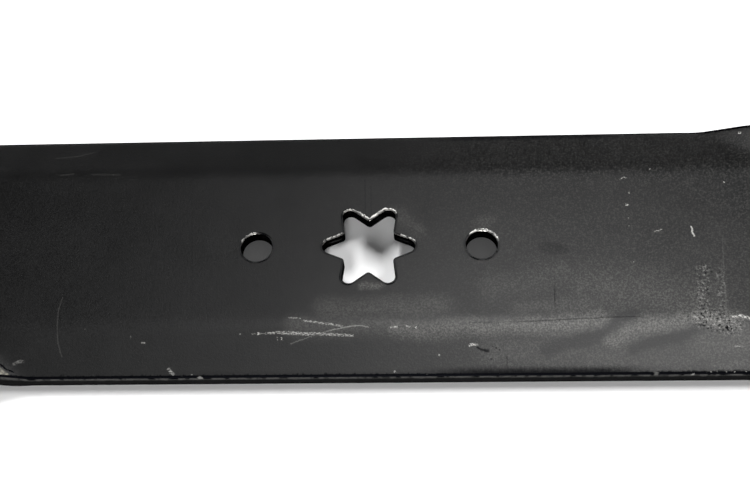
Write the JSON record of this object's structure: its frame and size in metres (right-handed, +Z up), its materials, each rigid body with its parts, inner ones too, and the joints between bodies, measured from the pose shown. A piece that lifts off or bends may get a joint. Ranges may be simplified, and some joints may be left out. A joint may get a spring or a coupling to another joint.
{
  "type": "rotary mower blade",
  "caption": "Straight pressed-steel rotary mower blade with a star-shaped drive hole, round side holes, turned-down edges, upturned sails and ground cutting edges, painted black.",
  "frame": {"origin": "on the axis of the star-shaped drive hole, at the level of the lowest edges, on which the blade lies", "axes": "+X along the blade, +Y across it, +Z up along the drive axis; the sails trail at +X+Y and -X-Y, so it cuts turning clockwise seen from +Z"},
  "size_m": [0.456, 0.0784, 0.0199],
  "materials": {
    "blade_steel": "thin satin black paint on sheared and pressed steel, scuffed, with bare rims and ground edges"
  },
  "bodies": {
    "root": {"mower_blade": "blade_steel"}
  },
  "joints": []
}
